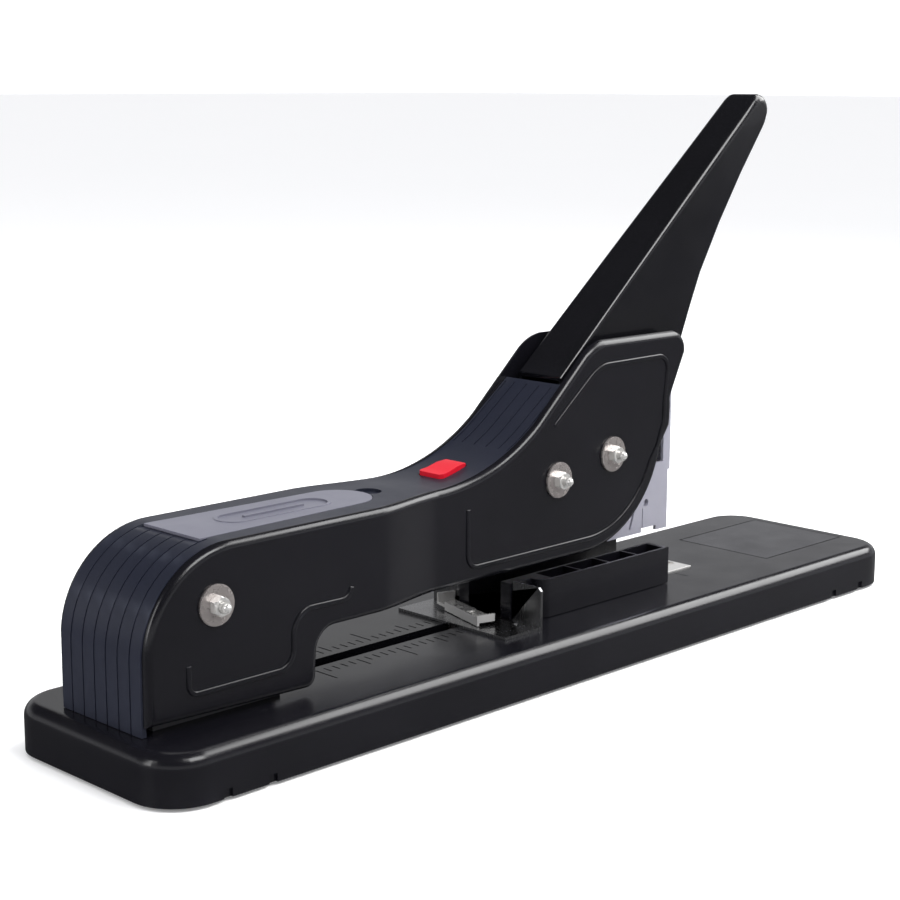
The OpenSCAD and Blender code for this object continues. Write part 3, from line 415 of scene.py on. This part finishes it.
springWire = metalMaterial("springWire", (0.32, 0.32, 0.33), (0.42, 0.42, 0.43), (0.22, 0.34),
                           (300, 300, 300), lines=0.03)
stapleWire = metalMaterial("stapleWire", (0.60, 0.61, 0.62), (0.70, 0.70, 0.71), (0.25, 0.4),
                           (1500, 30, 30), lines=0.2)
print("materials ready")

slotMaterials = {
    "body_black": shellBlack, "handle_paint": handleBlack, "cover_plastic": coverSlate,
    "lid_plastic": lidSmoke, "dark_plastic": innerPlastic, "red_plastic": buttonRed,
    "bright_chrome": brightNickel, "fastener_steel": boltSteel, "zinc_steel": zincSheet,
    "spring_steel": springWire, "staple_wire": stapleWire, "under_plate": underPaint,
    "foot_rubber": footRubber}
nodeSlot = {s["node"]: s["material_slot"] for s in frame["record"]["subparts"]}
nodeBody = {}
for bodyName, nodeNames in frame["record"]["behaviour"]["bodies"].items():
    for nodeName in nodeNames:
        nodeBody[nodeName] = bodyName
for nodeName, nodeObject in frame["nodes"].items():
    nodeObject.data.materials.clear()
    nodeObject.data.materials.append(slotMaterials[nodeSlot[nodeName]])


# pieces that keep the CAD shape and get softened edges
softPieces = {
    "baseShell": ("base_housing", 0.0), "coverShell": ("top_cover", 0.3),
    "storageLid": ("lid", 0.35), "pushButton": ("release_button", 0.9),
    "stopWings": ("stop_block", 0.5), "stopPlate": ("stop_bracket", 0.2),
    "stopCatch": ("stop_lever", 0.2), "catchPin": ("lever_pin", 0.3),
    "anvil": ("anvil_plate", 0.3), "anvilBolts": ("anvil_screws", 0.15),
    "bigWashers": ("washers", 0.35), "sideNuts": ("hex_nuts", 0.25),
    "rearBolt": ("rear_bolt", 0.08), "handleBolt": ("handle_bolt", 0.08),
    "guideBolt": ("guide_bolt", 0.08), "headPlates": ("head_frame", 0.0),
    "armChannel": ("inner_arm", 0.25), "magazineNose": ("magazine_front", 0.3),
    "rubberFeet": ("feet", 0.4)}
ownLook = {"stopPlate": platedSteel, "bigWashers": washerSteel}
for pieceName, (nodeName, width) in softPieces.items():
    piece = copyNode(nodeName, pieceName)
    if width:
        roundEdges(piece, width)
    smooth(piece)
    look = ownLook.get(pieceName, slotMaterials[nodeSlot[nodeName]])
    finish(piece, nodeBody[nodeName], [nodeName], look)
print("softened pieces done")


# springs: copies of the CAD coils, each given a mesh of its own
springPieces = {
    "armSpring": {"node": "arm_spring", "joint": "arm_swing", "foot": (-0.189, 0, 0.026),
                  "keep": 0.925},
    "driverSpring": {"node": "driver_spring", "joint": "driver_travel", "foot": (0.088, 0, 0.0795),
                     "keep": 0.335},
    "buttonSpring": {"node": "button_spring", "joint": "button_press", "foot": (-0.054, 0, 0.0875),
                     "keep": 0.76}}
for pieceName, spring in springPieces.items():
    coil = copyNode(spring["node"], pieceName)
    smooth(coil, 50)
    finish(coil, nodeBody[spring["node"]], [spring["node"]], springWire)
    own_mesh(coil)
print("springs done")


# cheeks: pressed shells with a rolled outer rim, set inwards in front
cheek = {
    "thickness": 3.8, "rearHalf": 32.0, "frontHalf": 24.0, "rim": 3.6, "rimSteps": 6,
    "joggleRear": -118.0, "joggleFront": -76.0, "joggleSteps": 8, "ribWidth": 2.4, "ribHeight": 0.8,
    "ribSunk": 0.4, "ribRounding": 0.75, "ribSteps": 4, "smoothAngle": 26, "ribSmoothAngle": 60}
cheekOutline = (
    arcPoints(-202.7, 53.7, 45.5, 175, 90, 20) + arcPoints(-75, 211.2, 112, 270, 307.5, 18)
    + arcPoints(44.5, 130.5, 28.3, 127.5, 96, 8) + arcPoints(97, 147.8, 10.5, 82, -8, 10)
    + arcPoints(30, 118, 66.5, 5, -8, 4) + arcPoints(30, 111.2, 60, -12, -90, 20)
    + arcPoints(-146.5, 40.7, 10.5, 90, 180, 10) + arcPoints(-163, 31.2, 5.5, 0, -85, 8)
    + [(-248.2, 28.1)])
rearRib = ([(-227.6, 50.5)] + arcPoints(-223.2, 42.2, 4.4, 180, 270, 6) + [(-206, 37.8)]
           + arcPoints(-180, 46.5, 8.7, 270, 352, 8) + arcPoints(-160.5, 51.8, 10.8, 175, 98, 8)
           + arcPoints(-143.6, 68.4, 6.2, 270, 350, 6))
frontRib = ([(-56.3, 87.5)] + arcPoints(-50, 65.2, 6.4, 180, 270, 6) + [(-13, 58.8), (22, 58.8)]
            + arcPoints(30, 111.2, 52.4, -88, -22, 18) + [(84.5, 100)]
            + arcPoints(30, 118, 59.5, -6, 3, 3) + arcPoints(84, 139, 7.5, 0, 85, 7)
            + arcPoints(46, 121.5, 25, 97, 128, 7) + [(16, 129.6), (4, 120)])


def bandAround(path, width):
    left, right = [], []
    for i, (x, z) in enumerate(path):
        xa, za = path[max(i - 1, 0)]
        xb, zb = path[min(i + 1, len(path) - 1)]
        length = math.hypot(xb - xa, zb - za)
        nx, nz = -(zb - za) / length * width / 2, (xb - xa) / length * width / 2
        left.append((x + nx, z + nz))
        right.append((x - nx, z - nz))
    return left + right[::-1]


def joggleShift(x):
    t = (x - cheek["joggleRear"]) / (cheek["joggleFront"] - cheek["joggleRear"])
    t = min(max(t, 0.0), 1.0)
    eased = t * t * (3 - 2 * t)
    return (cheek["rearHalf"] - cheek["frontHalf"]) * (0.5 * t + 0.5 * eased)


def cutAcross(obj, xs):
    makeActive(obj)
    bpy.ops.object.mode_set(mode="EDIT")
    for x in xs:
        bpy.ops.mesh.select_all(action="SELECT")
        bpy.ops.mesh.bisect(plane_co=(x * mm, 0, 0), plane_no=(1, 0, 0))
    bpy.ops.object.mode_set(mode="OBJECT")


def bevelAtY(obj, y, width, steps):
    bevelPicked(obj, lambda a, b: abs(a.y - y) < 0.01 and abs(b.y - y) < 0.01, width, steps)


def buildRib(name, path, side, half):
    strip = traceOutline(name, bandAround(path, cheek["ribWidth"]), side * (half - cheek["ribSunk"]))
    extrudeAll(strip, (0, side * (cheek["ribHeight"] + cheek["ribSunk"]), 0))
    bevelAtY(strip, side * (half + cheek["ribHeight"]), cheek["ribRounding"], cheek["ribSteps"])
    smooth(strip, cheek["ribSmoothAngle"])
    return strip


def buildCheek(name, side, node):
    outer = cheek["rearHalf"]
    shell = traceOutline(name, cheekOutline, side * (outer - cheek["thickness"]))
    extrudeAll(shell, (0, side * cheek["thickness"], 0))
    bevelAtY(shell, side * outer, cheek["rim"], cheek["rimSteps"])
    spread = cheek["joggleFront"] - cheek["joggleRear"]
    cutAcross(shell, [cheek["joggleRear"] + spread * i / cheek["joggleSteps"]
                      for i in range(cheek["joggleSteps"] + 1)])
    for vertex in shell.data.vertices:
        vertex.co.y -= side * joggleShift(vertex.co.x / mm) * mm
    smooth(shell, cheek["smoothAngle"])
    for path, half in ((rearRib, cheek["rearHalf"]), (frontRib, cheek["frontHalf"])):
        strip = buildRib(name + "Rib", path, side, half)
        makeActive(shell)
        strip.select_set(True)
        bpy.ops.object.join()
    finish(shell, "base", [node], shellBlack)


buildCheek("cheekNear", -1, "cheek_near")
buildCheek("cheekFar", 1, "cheek_far")
print("cheeks done")


# ruler: dull dark paint in the grooves of the base, one groove modelled and copied
ruler = {"reach": 250.0, "pitch": 5.0, "count": 23, "stapleLine": 111.0, "inner": 8.6,
         "short": 5.4, "middle": 9.8, "long": 14.8, "width": 0.8, "grooveDepth": 0.3,
         "paintDepth": 0.12, "rounding": 0.05, "longEvery": 10, "middleEvery": 5}


def paintedBar(name, low, high, rounding):
    deselectAll()
    size = [(b - a) * mm for a, b in zip(low, high)]
    middle = [(a + b) / 2 * mm for a, b in zip(low, high)]
    bpy.ops.mesh.primitive_cube_add(size=1, location=middle, scale=size)
    obj = bpy.context.object
    obj.name = name
    placeAtOrigin(obj)
    bevelPicked(obj, lambda a, b: a.z > middle[2] / mm and b.z > middle[2] / mm, rounding, 2)
    return obj


def joinAll(objects, name):
    makeActive(objects[0])
    for obj in objects[1:]:
        obj.select_set(True)
    bpy.ops.object.join()
    joined = bpy.context.object
    joined.name = name
    joined.data.name = name
    return joined


def copyMoved(obj, offset):
    makeActive(obj)
    bpy.ops.object.duplicate()
    twin = bpy.context.object
    bpy.ops.transform.translate(value=[v * mm for v in offset])
    placeAtOrigin(twin)
    return twin


def barLength(i):
    if i % ruler["longEvery"] == 0:
        return ruler["long"]
    return ruler["middle"] if i % ruler["middleEvery"] == 0 else ruler["short"]


def buildRuler():
    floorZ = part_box("base_housing")[1][2] / mm - ruler["grooveDepth"]
    half = ruler["width"] / 2
    bars = []
    runs = ((ruler["short"], 1), (ruler["middle"], ruler["middleEvery"]), (ruler["long"], 0))
    for run, start in runs:
        x = ruler["stapleLine"] - ruler["reach"] + ruler["pitch"] * start
        first = paintedBar("tick", (x - half, ruler["inner"], floorZ),
                           (x + half, ruler["inner"] + run, floorZ + ruler["paintDepth"]),
                           ruler["rounding"])
        for i in range(ruler["count"]):
            if barLength(i) != run:
                continue
            shift = (i - start) * ruler["pitch"]
            if i != start:
                bars.append(copyMoved(first, (shift, 0, 0)))
            bars.append(copyMoved(first, (shift, -2 * ruler["inner"] - run, 0)))
        bars.append(first)
    inlay = joinAll(bars, "rulerInlay")
    smooth(inlay)
    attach(inlay, "base")
    inlay.data.materials.clear()
    inlay.data.materials.append(rulerPaint)


buildRuler()
print("ruler done")


# handle: bent sheet whose rounded shoulders widen towards the tip
handleShape = {"footX": 18.8, "footZ": 141.6, "angle": 40.0, "tipX": 183.82, "tipZ": 271.75,
               "tipRadius": 7.4, "footRounding": 2.0, "tipRounding": 6.0, "steps": 6, "cuts": 12,
               "outerHalf": 11.2, "fadeRoundTip": 0.85}


def heightOverTop(p):
    a = math.radians(handleShape["angle"])
    return (p.z - handleShape["footZ"]) * math.cos(a) - (p.x - handleShape["footX"]) * math.sin(a)


# how round the shoulder is at a point: 0 away from it, 1 at the tip
def shoulderShare(p):
    outward = math.hypot(p.x - handleShape["tipX"], p.z - handleShape["tipZ"])
    along = (p.x - handleShape["footX"]) / (handleShape["tipX"] - handleShape["footX"])
    if abs(heightOverTop(p)) < 1.6 and along < 1:
        return max(handleShape["footRounding"] / handleShape["tipRounding"], min(along, 1.0))
    if abs(outward - handleShape["tipRadius"]) < 0.2 and p.x > handleShape["tipX"] - 6:
        drop = (handleShape["tipZ"] + handleShape["tipRadius"] - p.z) / (2 * handleShape["tipRadius"])
        return 1.0 - handleShape["fadeRoundTip"] * min(max(drop, 0.0), 1.0)
    return 0.0


def buildHandle():
    lever = copyNode("handle", "pressHandle")
    span = handleShape["tipX"] - handleShape["footX"]
    cutAcross(lever, [handleShape["footX"] + span * (i + 1) / (handleShape["cuts"] + 1)
                      for i in range(handleShape["cuts"])])
    weights = lever.data.attributes.new("bevel_weight_edge", "FLOAT", "EDGE")
    for edge in lever.data.edges:
        a, b = (lever.data.vertices[i].co / mm for i in edge.vertices)
        shares = shoulderShare(a), shoulderShare(b)
        outside = min(abs(a.y), abs(b.y)) > handleShape["outerHalf"]
        if min(shares) > 0 and abs(a.y - b.y) < 5 and outside:
            weights.data[edge.index].value = sum(shares) / 2
    makeActive(lever)
    mod = lever.modifiers.new("shoulder", "BEVEL")
    mod.limit_method = "WEIGHT"
    mod.width = handleShape["tipRounding"] * mm
    mod.segments = handleShape["steps"]
    bpy.ops.object.modifier_apply(modifier=mod.name)
    smooth(lever, 34)
    finish(lever, "handle", ["handle"], handleBlack)


buildHandle()
print("handle done")


# floor, light and camera
floorLook = {"size": 60, "drop": 0.0002, "scale": 1.5, "low": 0.98, "high": 0.99, "toneInGloss": 0.05,
             "glow": 0.15, "roughness": 0.6}


# a float that changes where a reflection looks at it
def addGlossSwitch(nodes, links, seen, inGloss):
    rays = nodes.new("ShaderNodeLightPath")
    switch = nodes.new("ShaderNodeMix")
    switch.inputs["A"].default_value = seen
    switch.inputs["B"].default_value = inGloss
    links.new(rays.outputs["Is Glossy Ray"], switch.inputs["Factor"])
    return switch


def buildFloor():
    deselectAll()
    bpy.ops.mesh.primitive_plane_add(size=floorLook["size"], location=(0, 0, -floorLook["drop"]))
    floor = bpy.context.object
    floor.name = "floor"
    placeAtOrigin(floor)
    material, nodes, links, shader = startMaterial("paleFloor")
    tone = addGroup(nodes, driftGroup, Scale=floorLook["scale"], Low=floorLook["low"],
                    High=floorLook["high"])
    dim = addGlossSwitch(nodes, links, floorLook["high"], floorLook["toneInGloss"])
    links.new(tone.outputs["Value"], dim.inputs["A"])
    links.new(dim.outputs["Result"], shader.inputs["Base Color"])
    glow = addGlossSwitch(nodes, links, floorLook["glow"], 0.0)
    links.new(glow.outputs["Result"], shader.inputs["Emission Strength"])
    shader.inputs["Emission Color"].default_value = (1, 1, 1, 1)
    shader.inputs["Roughness"].default_value = floorLook["roughness"]
    floor.data.materials.append(material)


def addSoftbox(name, place, target, size, power):
    deselectAll()
    bpy.ops.object.light_add(type="AREA", location=place)
    lamp = bpy.context.object
    lamp.name = name
    lamp.data.shape = "RECTANGLE"
    lamp.data.size, lamp.data.size_y = size
    lamp.data.energy = power
    aim = Vector(target) - Vector(place)
    lamp.rotation_euler = aim.to_track_quat("-Z", "Y").to_euler()


studio = {"worldColour": (0.97, 0.975, 1.0), "worldStrength": 0.95, "seenStrength": 1.15,
          "roomStrength": 0.04, "horizonStrength": 0.62, "horizonTop": 0.22, "darkFrom": 0.42}
buildFloor()
world = bpy.data.worlds.new("studio")
bpy.context.scene.world = world
world.use_nodes = True
worldNodes, worldLinks = world.node_tree.nodes, world.node_tree.links
sky = worldNodes["Background"]
sky.inputs["Color"].default_value = (*studio["worldColour"], 1)
# in the gloss the room is bright near the horizon and dark overhead
around = worldNodes.new("ShaderNodeTexCoord")
split = worldNodes.new("ShaderNodeSeparateXYZ")
fall = worldNodes.new("ShaderNodeMapRange")
fall.interpolation_type = "SMOOTHSTEP"
fall.inputs["From Min"].default_value = studio["horizonTop"]
fall.inputs["From Max"].default_value = studio["darkFrom"]
fall.inputs["To Min"].default_value = studio["horizonStrength"]
fall.inputs["To Max"].default_value = studio["roomStrength"]
rays = worldNodes.new("ShaderNodeLightPath")
level = worldNodes.new("ShaderNodeMix")
level.inputs["A"].default_value = studio["worldStrength"]
worldLinks.new(around.outputs["Generated"], split.inputs["Vector"])
worldLinks.new(split.outputs["Z"], fall.inputs["Value"])
worldLinks.new(fall.outputs["Result"], level.inputs["B"])
worldLinks.new(rays.outputs["Is Glossy Ray"], level.inputs["Factor"])
seen = worldNodes.new("ShaderNodeMix")
seen.inputs["B"].default_value = studio["seenStrength"]
worldLinks.new(rays.outputs["Is Camera Ray"], seen.inputs["Factor"])
worldLinks.new(level.outputs["Result"], seen.inputs["A"])
worldLinks.new(seen.outputs["Result"], sky.inputs["Strength"])
softboxes = {
    "rimBox": {"place": (1.15, -0.33, 1.1), "target": (0, 0, 0.05), "size": (1.1, 1.1), "power": 24},
    "edgeBox": {"place": (0.1, -0.95, 1.3), "target": (0, 0, 0.15), "size": (0.9, 0.6), "power": 15},
    "leftBox": {"place": (-1.6, 0.3, 0.7), "target": (0, 0, 0.1), "size": (0.4, 0.9), "power": 5},
    "backBox": {"place": (0.9, 1.5, 0.9), "target": (0, 0, 0.12), "size": (1.2, 0.4), "power": 0.8}}
for boxName, box in softboxes.items():
    addSoftbox(boxName, box["place"], box["target"], box["size"], box["power"])

view = {"place": (-0.6775, -0.6323, 0.2865), "heading": -45.03, "tilt": 78.92, "roll": 0.15,
        "lens": 75.67, "sensorWidth": 36, "clipStart": 0.01}
bpy.ops.object.camera_add(location=view["place"])
camera = bpy.context.object
camera.name = "mainCamera"
turn = (Matrix.Rotation(math.radians(view["heading"]), 4, "Z")
        @ Matrix.Rotation(math.radians(view["tilt"]), 4, "X")
        @ Matrix.Rotation(math.radians(view["roll"]), 4, "Z"))
camera.matrix_world = Matrix.Translation(view["place"]) @ turn
camera.data.lens = view["lens"]
camera.data.sensor_width = view["sensorWidth"]
camera.data.clip_start = view["clipStart"]
bpy.context.scene.camera = camera
bpy.context.scene.view_settings.view_transform = "Standard"
print("studio ready")
